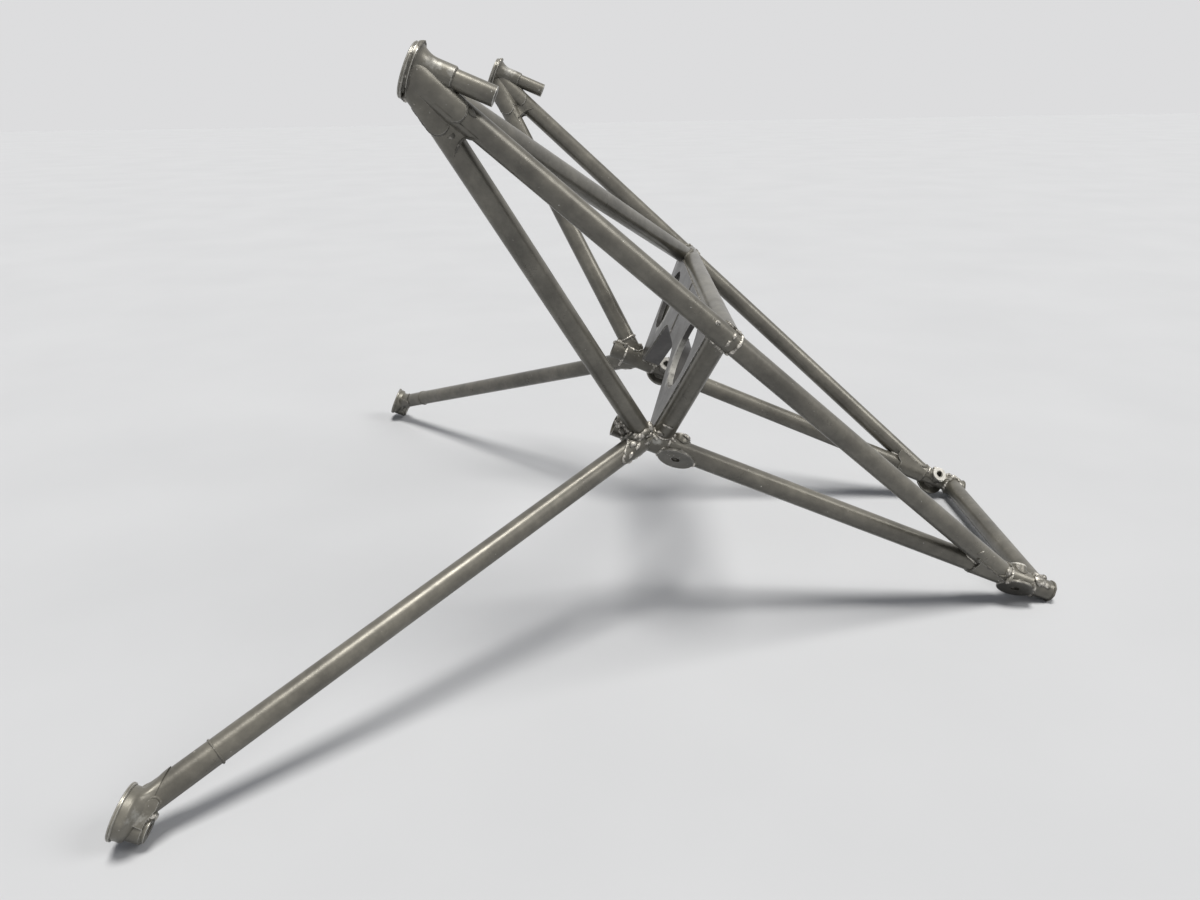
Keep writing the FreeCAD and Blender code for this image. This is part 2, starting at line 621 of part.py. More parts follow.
os.makedirs("parts", exist_ok=True)
for node_name, shape in NODES.items():
    shape.translate(shift)
    shape.exportStep("parts/" + node_name + ".step")
print(len(NODES), "nodes, tipped", round(math.degrees(angle), 3), "degrees")
print("box", round(box.XLength, 2), round(box.YLength, 2), round(box.ZLength, 2), "moved", shift)
for node_name, shape in sorted(NODES.items()):
    print(node_name, len(shape.Solids), shape.isValid(), round(shape.Volume))
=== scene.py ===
import json
import math
import random

import bmesh
import bpy
from mathutils import Matrix, Vector, noise
from mathutils.bvhtree import BVHTree


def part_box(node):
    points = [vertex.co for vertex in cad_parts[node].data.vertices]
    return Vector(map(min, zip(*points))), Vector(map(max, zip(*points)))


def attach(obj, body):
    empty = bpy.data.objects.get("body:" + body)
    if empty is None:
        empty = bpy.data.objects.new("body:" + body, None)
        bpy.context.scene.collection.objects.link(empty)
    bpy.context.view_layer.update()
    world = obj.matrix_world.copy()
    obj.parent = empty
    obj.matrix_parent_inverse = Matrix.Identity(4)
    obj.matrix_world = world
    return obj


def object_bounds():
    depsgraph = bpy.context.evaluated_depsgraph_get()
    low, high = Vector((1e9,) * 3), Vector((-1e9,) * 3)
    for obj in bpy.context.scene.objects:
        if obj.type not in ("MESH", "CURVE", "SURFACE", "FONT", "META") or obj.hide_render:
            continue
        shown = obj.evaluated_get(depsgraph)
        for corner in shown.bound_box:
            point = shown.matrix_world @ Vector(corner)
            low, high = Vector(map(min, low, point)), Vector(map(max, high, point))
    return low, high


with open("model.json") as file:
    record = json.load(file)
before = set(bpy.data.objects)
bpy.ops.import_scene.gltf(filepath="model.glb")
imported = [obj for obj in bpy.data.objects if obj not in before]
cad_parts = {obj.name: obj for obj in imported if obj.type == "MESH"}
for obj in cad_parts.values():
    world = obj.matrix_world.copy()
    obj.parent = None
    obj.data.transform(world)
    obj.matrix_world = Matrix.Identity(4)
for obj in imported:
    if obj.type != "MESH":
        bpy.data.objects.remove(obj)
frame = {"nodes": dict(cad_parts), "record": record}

CAD_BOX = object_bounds()

# Sizes are in metres. Added to the CAD frame are weld beads and lumps, ring welds, chips, the sheet
# boots of the lower feet and the sheet webs in the forks of the upper feet.
# The camera stands where the photograph was taken from, solved from the outlines of the tubes.
CAMERA_PLACE = Vector((-0.05143, -1.09428, 0.55371))
CAMERA_LOOK = Vector((-0.013863, 0.932651, -0.360514))
CAMERA_UP = Vector((0.0109, 0.360668, 0.932630))
PHOTO_WIDTH = 1200
PHOTO_CENTRE = (600, 450)
FOCAL_PIXELS = 950.0
SENSOR_WIDTH = 36.0

# Aircraft axes to the frame's own axes: the mount is tipped nose down and then moved.
TIP = math.radians(23.019)
SHIFT = Vector((-0.210423, 0.0, 0.566025))

TUBE_R = 0.0111
LEFT = 1
RIGHT = -1
SIDES = (("left", LEFT), ("right", RIGHT))
RNG = random.Random(7)

# Work points of the tubes on the left half, in the aircraft's axes in millimetres
UPPER_FOOT = (-8.0, 296.5, 4.5)
BED_NODE = (318.8, 153.9, -257.5)
NOSE_NODE = (758.6, 146.4, -257.5)
LOWER_FOOT = (5.0, 514.0, -583.5)
LOWER_DISC = (3.0, 511.0, -580.0)

# The paint has a little metal in it, which gives its brassy sheen
PAINT_METAL = 0.34
BRONZE = (0.196, 0.184, 0.152)


def rest(x, y, z):
    """A point given in the aircraft's axes in millimetres, in the frame's axes in metres."""
    c, s = math.cos(TIP), math.sin(TIP)
    return Vector(((x * c + z * s) / 1000, y / 1000, (z * c - x * s) / 1000)) + SHIFT


def turned(x, y, z):
    """A direction given in the aircraft's axes, in the frame's axes."""
    c, s = math.cos(TIP), math.sin(TIP)
    return Vector((x * c + z * s, y, z * c - x * s)).normalized()


def at(point, side):
    """A work point on the given side, still in the aircraft's axes in millimetres."""
    return Vector((point[0], side * point[1], point[2]))


# Camera

def camera_axes():
    """The camera's right, up and backward directions."""
    back = -CAMERA_LOOK.normalized()
    right = CAMERA_UP.cross(back).normalized()
    return right, back.cross(right), back


def make_camera():
    data = bpy.data.cameras.new("photo_camera")
    data.sensor_width = SENSOR_WIDTH
    data.lens = FOCAL_PIXELS / PHOTO_WIDTH * SENSOR_WIDTH
    data.clip_start = 0.02
    cam = bpy.data.objects.new("photo_camera", data)
    bpy.context.scene.collection.objects.link(cam)
    turn = Matrix(camera_axes()).transposed().to_4x4()
    cam.matrix_world = Matrix.Translation(CAMERA_PLACE) @ turn
    bpy.context.scene.camera = cam


# Materials

def new_material(name):
    mat = bpy.data.materials.new(name)
    mat.use_nodes = True
    tree = mat.node_tree
    tree.nodes.clear()
    out = tree.nodes.new("ShaderNodeOutputMaterial")
    shader = tree.nodes.new("ShaderNodeBsdfPrincipled")
    tree.links.new(shader.outputs[0], out.inputs[0])
    return mat, tree, shader


def add_noise(tree, coords, scale, detail=6.0, rough=0.6, stretch=(1, 1, 1)):
    node = tree.nodes.new("ShaderNodeTexNoise")
    node.inputs["Scale"].default_value = scale
    node.inputs["Detail"].default_value = detail
    node.inputs["Roughness"].default_value = rough
    if stretch == (1, 1, 1):
        tree.links.new(coords, node.inputs["Vector"])
        return node.outputs["Fac"]
    mapping = tree.nodes.new("ShaderNodeMapping")
    mapping.inputs["Scale"].default_value = stretch
    tree.links.new(coords, mapping.inputs["Vector"])
    tree.links.new(mapping.outputs[0], node.inputs["Vector"])
    return node.outputs["Fac"]


def ramp(tree, source, stops):
    node = tree.nodes.new("ShaderNodeValToRGB")
    bar = node.color_ramp
    while len(bar.elements) < len(stops):
        bar.elements.new(0.5)
    for element, (place, colour) in zip(bar.elements, stops):
        element.position = place
        element.color = colour if len(colour) == 4 else (*colour, 1.0)
    tree.links.new(source, node.inputs["Fac"])
    return node.outputs["Color"]


def grey(value):
    return (value, value, value, 1.0)


def mix(tree, fac, a, b, blend="MIX"):
    node = tree.nodes.new("ShaderNodeMix")
    node.data_type = "RGBA"
    node.blend_type = blend
    for socket, value in ((node.inputs["Factor"], fac), (node.inputs["A"], a), (node.inputs["B"], b)):
        if isinstance(value, bpy.types.NodeSocket):
            tree.links.new(value, socket)
        else:
            socket.default_value = value
    return node.outputs["Result"]


def maths(tree, operation, a, b=0.0):
    node = tree.nodes.new("ShaderNodeMath")
    node.operation = operation
    node.use_clamp = True
    for socket, value in ((node.inputs[0], a), (node.inputs[1], b)):
        if isinstance(value, bpy.types.NodeSocket):
            tree.links.new(value, socket)
        else:
            socket.default_value = value
    return node.outputs[0]


def add_bump(tree, shader, height, strength, distance):
    bump = tree.nodes.new("ShaderNodeBump")
    bump.inputs["Strength"].default_value = strength
    bump.inputs["Distance"].default_value = distance
    tree.links.new(height, bump.inputs["Height"])
    tree.links.new(bump.outputs[0], shader.inputs["Normal"])


def seen_directly(tree):
    """One for what the camera, a gloss or a glass shows, and nothing for scattered light."""
    path = tree.nodes.new("ShaderNodeLightPath")
    seen = maths(tree, "MAXIMUM", path.outputs["Is Camera Ray"], path.outputs["Is Glossy Ray"])
    return maths(tree, "MAXIMUM", seen, path.outputs["Is Transmission Ray"])


def object_coords(tree):
    return tree.nodes.new("ShaderNodeTexCoord").outputs["Object"]


def edge_wear(tree, coords, radius, low, high):
    """Mask of worn edges: where a rounded normal leaves the true one, broken up by noise."""
    bevel = tree.nodes.new("ShaderNodeBevel")
    bevel.inputs["Radius"].default_value = radius
    bevel.samples = 4
    geometry = tree.nodes.new("ShaderNodeNewGeometry")
    dot = tree.nodes.new("ShaderNodeVectorMath")
    dot.operation = "DOT_PRODUCT"
    tree.links.new(bevel.outputs[0], dot.inputs[0])
    tree.links.new(geometry.outputs["Normal"], dot.inputs[1])
    bend = maths(tree, "SUBTRACT", 1.0, dot.outputs["Value"])
    broken = maths(tree, "MULTIPLY", bend, add_noise(tree, coords, 260, 4, 0.7))
    return ramp(tree, broken, ((low, grey(0)), (high, grey(1))))


def wear_and_highlight_spots(tree, coords, spots):
    """Mask of paler places near any of the given points, broken up by noise: worn paint on the gussets, and a
    painted highlight on the lit lip of the web holes.
    """
    total = 0.0
    ragged = add_noise(tree, coords, 190, 8, 0.75)
    for x, y, z, reach in spots:
        gap = tree.nodes.new("ShaderNodeVectorMath")
        gap.operation = "DISTANCE"
        tree.links.new(coords, gap.inputs[0])
        gap.inputs[1].default_value = (x, y, z)
        share = maths(tree, "DIVIDE", gap.outputs["Value"], reach)
        near = ramp(tree, share, ((0.25, grey(1)), (1.0, grey(0))))
        total = maths(tree, "MAXIMUM", near, total)
    return ramp(tree, maths(tree, "MULTIPLY", ragged, total), ((0.30, grey(0)), (0.46, grey(1))))


def paint(name, colour, chips=0.0, rough=(0.30, 0.46), wear=(0.05, 0.12), spots=()):
    """Satin grey bronze paint on steel: cloudy colour, handling marks, fine orange peel, and
    bare metal where it is chipped."""
    mat, tree, shader = new_material(name)
    coords = object_coords(tree)
    dark = tuple(c * 0.66 for c in colour)
    pale = tuple(min(1.0, c * 1.35) for c in colour)
    cloud = ramp(tree, add_noise(tree, coords, 16, 8, 0.66), ((0.34, dark), (0.52, colour), (0.70, pale)))
    film = ramp(tree, add_noise(tree, coords, 95, 6, 0.66), ((0.42, grey(0.82)), (0.66, grey(1.0))))
    base = mix(tree, 1.0, cloud, film, "MULTIPLY")
    scuff = ramp(tree, add_noise(tree, coords, 75, 9, 0.78), ((0.60, grey(0)), (0.70, grey(1))))
    base = mix(tree, maths(tree, "MULTIPLY", scuff, 0.30), base, (0.30, 0.28, 0.24, 1))
    dots = add_noise(tree, coords, 420, 2, 0.5)
    specks = ramp(tree, dots, ((0.76 - chips, grey(0)), (0.78 - chips, grey(1))))
    bare = specks
    if wear:
        bare = maths(tree, "MAXIMUM", specks, edge_wear(tree, coords, 0.0009, *wear))
    base = mix(tree, bare, base, (0.66, 0.65, 0.61, 1))
    # Paler where spots are given: worn paint on the gussets, and on the webs a painted highlight where light
    # falls on the hole's lip.
    if spots:
        rubbed_and_lit = maths(tree, "MULTIPLY", wear_and_highlight_spots(tree, coords, spots), 0.75)
        base = mix(tree, rubbed_and_lit, base, (0.50, 0.49, 0.45, 1))
    tree.links.new(base, shader.inputs["Base Color"])
    sheen = ramp(tree, add_noise(tree, coords, 34, 8, 0.72), ((0.35, grey(rough[0])), (0.68, grey(rough[1]))))
    tree.links.new(mix(tree, bare, sheen, grey(0.34)), shader.inputs["Roughness"])
    metal = maths(tree, "MAXIMUM", maths(tree, "MULTIPLY", bare, 0.85), PAINT_METAL)
    tree.links.new(metal, shader.inputs["Metallic"])
    shader.inputs["Specular IOR Level"].default_value = 0.65
    peel = add_noise(tree, coords, 900, 3, 0.5)
    waves = add_noise(tree, coords, 150, 5, 0.65)
    height = maths(tree, "ADD", maths(tree, "MULTIPLY", peel, 0.30), maths(tree, "MULTIPLY", waves, 0.6))
    height = maths(tree, "SUBTRACT", height, maths(tree, "MULTIPLY", bare, 0.3))
    add_bump(tree, shader, height, 0.30, 0.0006)
    return mat


def weld(name, colour, share):
    """Weld metal under thin paint: the ridges are bare and bright, the hollows hold dark paint."""
    mat, tree, shader = new_material(name)
    coords = object_coords(tree)
    patch = add_noise(tree, coords, 170, 6, 0.62)
    bare = ramp(tree, patch, ((0.60 - share * 0.3, grey(0)), (0.76 - share * 0.3, grey(1))))
    soot = ramp(tree, add_noise(tree, coords, 210, 5, 0.7), ((0.38, grey(0.35)), (0.55, grey(1.0))))
    metal = mix(tree, 1.0, (0.68, 0.65, 0.59, 1), soot, "MULTIPLY")
    tree.links.new(mix(tree, bare, (*colour, 1), metal), shader.inputs["Base Color"])
    tree.links.new(maths(tree, "MULTIPLY", bare, 0.8), shader.inputs["Metallic"])
    dull = ramp(tree, patch, ((0.3, grey(0.54)), (0.7, grey(0.33))))
    tree.links.new(dull, shader.inputs["Roughness"])
    grit = add_noise(tree, coords, 1100, 4, 0.7)
    add_bump(tree, shader, grit, 0.55, 0.0005)
    return mat


def steel(name, colour, rough):
    """Bare machined or scraped steel with fine scratches and a little stain."""
    mat, tree, shader = new_material(name)
    coords = object_coords(tree)
    dark = tuple(c * 0.6 for c in colour)
    stain = ramp(tree, add_noise(tree, coords, 160, 6, 0.7), ((0.30, dark), (0.55, colour)))
    tree.links.new(stain, shader.inputs["Base Color"])
    shader.inputs["Metallic"].default_value = 0.35
    scratch = add_noise(tree, coords, 700, 3, 0.6, (1.0, 8.0, 8.0))
    dull = ramp(tree, scratch, ((0.3, grey(rough)), (0.7, grey(rough + 0.2))))
    tree.links.new(dull, shader.inputs["Roughness"])
    add_bump(tree, shader, scratch, 0.25, 0.0003)
    return mat


# Floor, world and lights

FLOOR_HALF = 14.0
FLOOR_DARK = (0.66, 0.67, 0.69)
FLOOR_PALE = (0.69, 0.70, 0.72)
FLOOR_BOUNCE = (0.20, 0.21, 0.24, 1)
SKY_COLOUR = (0.88, 0.92, 1.0, 1)
SKY_STRENGTH = 0.16
BACKDROP = (0.722, 0.722, 0.730, 1)

# Name, direction, strength, angle in degrees and colour of each lamp
LAMPS = (
    ("key", (-0.08, 0.08, -1.0), 2.35, 22, (1.0, 0.98, 0.94)),
    ("side", (-0.78, 0.16, -0.58), 0.85, 26, (1.0, 0.985, 0.96)),
    ("fill", (0.24, 0.9, -0.10), 0.12, 40, (1.0, 0.98, 0.95)),
)


def make_stage():
    """A pale floor and backdrop. To scattered light the floor is darker, so that the undersides
    of the tubes stay in shade."""
    mat, tree, shader = new_material("floor_paper")
    coords = object_coords(tree)
    tone = ramp(tree, add_noise(tree, coords, 3, 4, 0.5), ((0.3, FLOOR_DARK), (0.7, FLOOR_PALE)))
    tree.links.new(mix(tree, seen_directly(tree), FLOOR_BOUNCE, tone), shader.inputs["Base Color"])
    shader.inputs["Roughness"].default_value = 0.85
    mesh = bpy.data.meshes.new("floor")
    corners = [(x * FLOOR_HALF, y * FLOOR_HALF, 0) for x, y in ((-1, -1), (1, -1), (1, 1), (-1, 1))]
    mesh.from_pydata(corners, [], [(0, 1, 2, 3)])
    mesh.materials.append(mat)
    floor = bpy.data.objects.new("floor", mesh)
    bpy.context.scene.collection.objects.link(floor)
    world = bpy.data.worlds.new("studio")
    bpy.context.scene.world = world
    world.use_nodes = True
    tree = world.node_tree
    sky = tree.nodes["Background"]
    sky.inputs["Color"].default_value = SKY_COLOUR
    sky.inputs["Strength"].default_value = SKY_STRENGTH
    seen = tree.nodes.new("ShaderNodeBackground")
    seen.inputs["Color"].default_value = BACKDROP
    seen.inputs["Strength"].default_value = 1.0
    blend = tree.nodes.new("ShaderNodeMixShader")
    tree.links.new(seen_directly(tree), blend.inputs[0])
    tree.links.new(sky.outputs[0], blend.inputs[1])
    tree.links.new(seen.outputs[0], blend.inputs[2])
    tree.links.new(blend.outputs[0], tree.nodes["World Output"].inputs[0])


def make_lights():
    """Soft lamps as even as the sun: a strong one overhead, a weaker one from the nose end, which
    draws the bright line along the sloping tubes, and a weak one from the camera's side."""
    for name, direction, strength, angle, colour in LAMPS:
        data = bpy.data.lights.new(name, "SUN")
        data.energy = strength
        data.angle = math.radians(angle)
        data.color = colour
        lamp = bpy.data.objects.new(name, data)
        lamp.rotation_euler = Vector(direction).to_track_quat("-Z", "Y").to_euler()
        bpy.context.scene.collection.objects.link(lamp)


# Weld beads: each runs along an edge of a CAD node that lies on another node's surface

TOUCH = 0.0004
SHARP = math.cos(math.radians(32))
BEAD_STEP = 0.0005
BEAD_SIDES = 12
INSIDE = 0.0001
SMALLEST_RUN = 0.004
SMALLEST_LOOP = 0.036
LEAST_OPEN = 0.12
MOST_OPEN = 0.8
LOOK_COUNT = 36
LOOK_REACH = 0.25
LOOK_LIFT = 0.0015


def node_mesh(node):
    """A CAD node's corner points without doubles, and its faces."""
    mesh = frame["nodes"][node].data
    known, points, index = {}, [], []
    for vertex in mesh.vertices:
        key = tuple(round(c, 6) for c in vertex.co)
        if key not in known:
            known[key] = len(points)
            points.append(vertex.co.copy())
        index.append(known[key])
    faces = []
    for polygon in mesh.polygons:
        corners = [index[i] for i in polygon.vertices]
        if len(set(corners)) == len(corners):
            faces.append(corners)
    return points, faces


MESHES = {name: node_mesh(name) for name in frame["nodes"]}
TREES = {name: BVHTree.FromPolygons(*mesh) for name, mesh in MESHES.items()}


def whole_tree():
    points, faces = [], []
    for own_points, own_faces in MESHES.values():
        start = len(points)
        points += own_points
        faces += [[i + start for i in face] for face in own_faces]
    return BVHTree.FromPolygons(points, faces)


WHOLE = whole_tree()


def sphere_directions(count):
    """Directions spread evenly over a sphere."""
    golden = math.pi * (3 - math.sqrt(5))
    out = []
    for i in range(count):
        z = 1 - 2 * (i + 0.5) / count
        r = math.sqrt(1 - z * z)
        out.append(Vector((r * math.cos(golden * i), r * math.sin(golden * i), z)))
    return out


LOOKS = sphere_directions(LOOK_COUNT)


def openness(point):
    """Share of directions in which the open air is seen from a point."""
    free = sum(1 for d in LOOKS if WHOLE.ray_cast(point, d, LOOK_REACH)[0] is None)
    return free / len(LOOKS)


BOXES = {name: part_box(name) for name in frame["nodes"]}


def box_near(point, node):
    low, high = BOXES[node]
    return all(low[i] - TOUCH < point[i] < high[i] + TOUCH for i in range(3))


def touched(point, node):
    """The outward direction of the other node's surface that a point lies on."""
    for other in TREES:
        if other != node and box_near(point, other):
            hit, direction, _, gap = TREES[other].find_nearest(point, TOUCH)
            if hit is not None:
                return direction
    return None


def weld_lines(node):
    """Runs of sharp edges of a node that touch another node and can be seen from outside, each
    a list of points with the direction that faces the air."""
    points, faces = MESHES[node]
    sides = {}
    for face in faces:
        a, b, c = (points[i] for i in face[:3])
        normal = (b - a).cross(c - a)
        if normal.length < 1e-14:
            continue
        normal.normalize()
        for i, start in enumerate(face):
            end = face[(i + 1) % len(face)]
            sides.setdefault((min(start, end), max(start, end)), []).append(normal)
    out = {}
    links = {}
    for (i, j), normals in sides.items():
        if len(normals) != 2 or normals[0].dot(normals[1]) > SHARP:
            continue
        middle = (points[i] + points[j]) / 2
        surface = touched(middle, node)
        if surface is None:
            continue
        own = max(normals, key=lambda n: n.dot(surface))
        air = (own + surface)
        if air.length < 0.2:
            continue
        air.normalize()
        if not LEAST_OPEN <= openness(middle + air * LOOK_LIFT) <= MOST_OPEN:
            continue
        out[(i, j)] = air
        links.setdefault(i, set()).add(j)
        links.setdefault(j, set()).add(i)
    runs = []
    while links:
        start = next((i for i in links if len(links[i]) == 1), next(iter(links)))
        chain = [start]
        while links.get(chain[-1]):
            here = chain[-1]
            step = next(iter(links[here]))
            links[here].discard(step)
            links[step].discard(here)
            chain.append(step)
        links = {i: near for i, near in links.items() if near}
        if len(chain) > 1:
            airs = [out[(min(a, b), max(a, b))] for a, b in zip(chain, chain[1:])]
            airs.append(airs[-1])
            runs.append(([points[i] for i in chain], airs))
    return runs


def evenly(points, airs, step):
    """The same run as points one step apart."""
    places = [0.0]
    for a, b in zip(points, points[1:]):
        places.append(places[-1] + (b - a).length)
    count = max(3, int(places[-1] / step))
    out, k = [], 0
    for i in range(count + 1):
        want = places[-1] * i / count
        while k < len(places) - 2 and places[k + 1] < want:
            k += 1
        span = places[k + 1] - places[k]
        t = 0 if span == 0 else (want - places[k]) / span
        out.append((points[k].lerp(points[k + 1], t), airs[k].lerp(airs[k + 1], t)))
    return out, places[-1]


def smoothed(values, closed, reach):
    """Each value averaged with its neighbours."""
    out, n = [], len(values)
    for i in range(n):
        total, count = Vector((0, 0, 0)), 0
        for k in range(-reach, reach + 1):
            j = (i + k) % n if closed else min(max(i + k, 0), n - 1)
            total += values[j]
            count += 1
        out.append(total / count)
    return out


def inside_box(spot):
    """A point kept inside the box of the CAD model."""
    low, high = CAD_BOX
    return Vector([min(max(spot[i], low[i] + INSIDE), high[i] - INSIDE) for i in range(3)])


def sweep_bead(verts, faces, points, airs, radius, lift, pitch, lumps, seed):
    """One rippled bead along a run, added to a growing mesh."""
    closed = (points[0] - points[-1]).length < 1e-6
    line, length = evenly(points, airs, BEAD_STEP)
    if closed:
        line = line[:-1]
    centres = smoothed([p for p, _ in line], closed, 1)
    sky = smoothed([a for _, a in line], closed, 4)
    n = len(centres)
    start = len(verts)
    for i in range(n):
        ahead = centres[(i + 1) % n] if closed or i < n - 1 else centres[i]
        back = centres[i - 1] if closed or i > 0 else centres[i]
        along = (ahead - back).normalized()
        up = (sky[i] - along * sky[i].dot(along)).normalized()
        side = along.cross(up)
        walk = i * length / n
        swell = 1 + lumps * noise.noise(centres[i] * 210 + Vector((seed, 0, 0)))
        taper = 1.0
        if not closed:
            taper = min(1.0, 0.35 + min(i, n - 1 - i) * BEAD_STEP / (radius * 1.6))
        base = centres[i] + up * lift
        for k in range(BEAD_SIDES):
            turn = 2 * math.pi * k / BEAD_SIDES
            phase = walk / pitch + 0.22 * math.cos(turn) + 0.35 * noise.noise(centres[i] * 90)
            scale = (phase % 1.0) ** 0.6
            rough = noise.noise(centres[i] * 700 + up * math.cos(turn) * 3 + side * math.sin(turn) * 3)
            r = radius * taper * swell * (0.86 + 0.22 * scale + 0.5 * lumps * rough)
            spot = base + (up * math.cos(turn) + side * math.sin(turn)) * r
            verts.append(inside_box(spot))
    rings = n if closed else n - 1
    for i in range(rings):
        a = start + i * BEAD_SIDES
        b = start + ((i + 1) % n) * BEAD_SIDES
        for k in range(BEAD_SIDES):
            m = (k + 1) % BEAD_SIDES
            faces.append((a + k, b + k, b + m, a + m))
    if not closed:
        faces.append([start + k for k in range(BEAD_SIDES)])
        last = start + (n - 1) * BEAD_SIDES
        faces.append([last + k for k in reversed(range(BEAD_SIDES))])


def add_piece(name, verts, faces, mat, smooth=True):
    mesh = bpy.data.meshes.new(name)
    mesh.from_pydata([tuple(v) for v in verts], [], faces)
    mesh.materials.append(mat)
    mesh.validate()
    bm = bmesh.new()
    bm.from_mesh(mesh)
    bmesh.ops.recalc_face_normals(bm, faces=bm.faces)
    bm.to_mesh(mesh)
    bm.free()
    for polygon in mesh.polygons:
        polygon.use_smooth = smooth
    obj = bpy.data.objects.new(name, mesh)
    bpy.context.scene.collection.objects.link(obj)
    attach(obj, "root")
    return obj


# For each kind of node: bead radius, lift off the edge, ripple pitch in mm, lumpiness, and look
BEADS = {
    "upper_foot_ring": (1.3, 0.1, 2.2, 0.35, "painted"),
    "upper_wrap": (1.25, 0.2, 2.2, 0.40, "painted"),
    "upper_bolt_sleeve": (1.0, 0.0, 2.0, 0.3, "painted"),
    "upper_rear_tube": (1.3, 0.2, 2.2, 0.3, "painted"),
    "upper_front_tube": (1.6, 0.1, 2.4, 0.5, "bare"),
    "diagonal_tube": (3.1, 0.7, 2.8, 0.9, "half"),
    "foot_tube": (3.0, 0.7, 2.8, 0.9, "half"),
    "lower_wrap": (1.3, 0.1, 2.2, 0.4, "painted"),
    "lower_foot_barrel": (1.3, 0.1, 2.2, 0.4, "painted"),
    "bed_wrap": (1.5, 0.3, 2.2, 0.7, "bare"),
    "bed_tube": (1.2, 0.0, 2.2, 0.4, "painted"),
    "rear_pad": (1.7, 0.2, 2.4, 0.6, "bare"),
    "front_pad": (1.5, 0.2, 2.4, 0.6, "bare"),
    "rear_bush": (1.5, 0.1, 2.2, 0.4, "painted"),
    "front_bush": (1.5, 0.1, 2.2, 0.4, "painted"),
    "nose_wrap": (1.5, 0.2, 2.4, 0.6, "painted"),
    "saddle_leg": (2.2, 0.4, 2.6, 0.6, "half"),
    "saddle_web": (0.9, 0.0, 2.0, 0.3, "painted"),
    "saddle_hoop": (0.8, 0.0, 2.0, 0.3, "painted"),
    "saddle_top_tube": (2.0, 0.4, 2.4, 0.5, "half"),
    "front_cross_tube": (2.8, 0.7, 2.8, 0.6, "half"),
    "cross_brace": (1.7, 0.2, 2.4, 0.4, "painted"),
}


def make_welds(looks):
    count = 0
    for node in sorted(frame["nodes"]):
        kind = node.replace("_left", "").replace("_right", "")
        if kind not in BEADS:
            continue
        radius, lift, pitch, lumps, look = BEADS[kind]
        verts, faces = [], []
        for points, airs in weld_lines(node):
            length = sum((b - a).length for a, b in zip(points, points[1:]))
            closed = (points[0] - points[-1]).length < 1e-6
            if length < SMALLEST_RUN or closed and length < SMALLEST_LOOP:
                continue
            count += 1
            sizes = (radius / 1000, lift / 1000, pitch / 1000, lumps, count)
            sweep_bead(verts, faces, points, airs, *sizes)
        if verts:
            add_piece("weld_" + node, verts, faces, looks[look])


RING_STEPS = 48
SPLICE_FROM_FOOT = 0.079
BAND_FROM_NODE = 0.029


def ring_run(start, end, place, radius):
    """A circle round the line from start to end, at a distance from the start."""
    line = (end - start).normalized()
    centre = start + line * place
    first = line.orthogonal().normalized()
    second = line.cross(first)
    turns = [2 * math.pi * i / RING_STEPS for i in range(RING_STEPS)] + [0.0]
    airs = [first * math.cos(t) + second * math.sin(t) for t in turns]
    return [centre + air * radius for air in airs], airs


def make_rings(looks):
    """Ring welds round tubes where the CAD has no edge: the splice in each foot tube, and a
    repair band on the left diagonal."""
    for name, side in SIDES:
        foot, node, rear = (rest(*at(point, side)) for point in (LOWER_FOOT, BED_NODE, UPPER_FOOT))
        rings = [("foot_splice", foot, node, SPLICE_FROM_FOOT, 0.9, "painted")]
        if side == LEFT:
            rings.append(("diagonal_band", node, rear, BAND_FROM_NODE, 1.6, "bare"))
        for label, start, end, place, radius, look in rings:
            points, airs = ring_run(start, end, place, TUBE_R)
            verts, faces = [], []
            seed = side * 3 + len(label)
            sweep_bead(verts, faces, points, airs, radius / 1000, 0.0, 0.0022, 0.6, seed)
            add_piece("weld_%s_%s" % (label, name), verts, faces, looks[look])


# Formed boots between the lower foot discs and their tubes

BOOT_SIDES = 72
BOOT_RINGS = 14
BOOT_RIM = 0.0212
BOOT_REACH = 0.0175
BOOT_SHEET = 0.0017
BOOT_BAND = 0.38


def make_boots(look):
    """A flared sheet boot from the rim of each lower foot disc onto the foot tube."""
    for name, side in SIDES:
        start, end, disc = (at(point, side) for point in (LOWER_FOOT, BED_NODE, LOWER_DISC))
        line = (end - start).normalized()
        verts, faces = [], []
        for i in range(BOOT_RINGS + 1):
            t = i / BOOT_RINGS
            x = disc.x + t * BOOT_REACH * 1000
            centre = start + line * ((x - start.x) / line.x)
            fall = min(1.0, max(0.0, (t - BOOT_BAND) / (1 - BOOT_BAND)))
            flare = (1 - fall) ** 2.2 * (1 - 0.06 * t)
            for k in range(BOOT_SIDES):
                turn = 2 * math.pi * k / BOOT_SIDES
                away = Vector((0, math.cos(turn), math.sin(turn)))
                flat = away - line * away.dot(line)
                tube = centre + away * (TUBE_R + BOOT_SHEET * (1 - 0.5 * t)) * 1000 / flat.length
                rim = Vector((x, disc.y, disc.z)) + away * BOOT_RIM * 1000
                spot = rest(*tube.lerp(rim, flare))
                dent = noise.noise(spot * 120) * 0.0006 * math.sin(math.pi * t)
                verts.append(inside_box(spot + turned(*away) * dent))
        for i in range(BOOT_RINGS):
            for k in range(BOOT_SIDES):
                m = (k + 1) % BOOT_SIDES
                a, b = i * BOOT_SIDES, (i + 1) * BOOT_SIDES
                faces.append((a + k, b + k, b + m, a + m))
        add_piece("foot_boot_" + name, verts, faces, look)


# Sheet webs in the forks of the upper feet, between the longeron and the diagonal, in millimetres

FORK_START = 40.0
FORK_REACH = 77.0
FORK_HOLLOW = 6.0
FORK_HALF = 6.0
FORK_COVER = 12.95
FORK_LOW_COVER = 11.3
FORK_FADE_START = 56.0
FORK_FADE = 12.0
FORK_SOFT = 1.6
FORK_SHARE = 0.92
FORK_STEPS = 26
FORK_ACROSS = 24


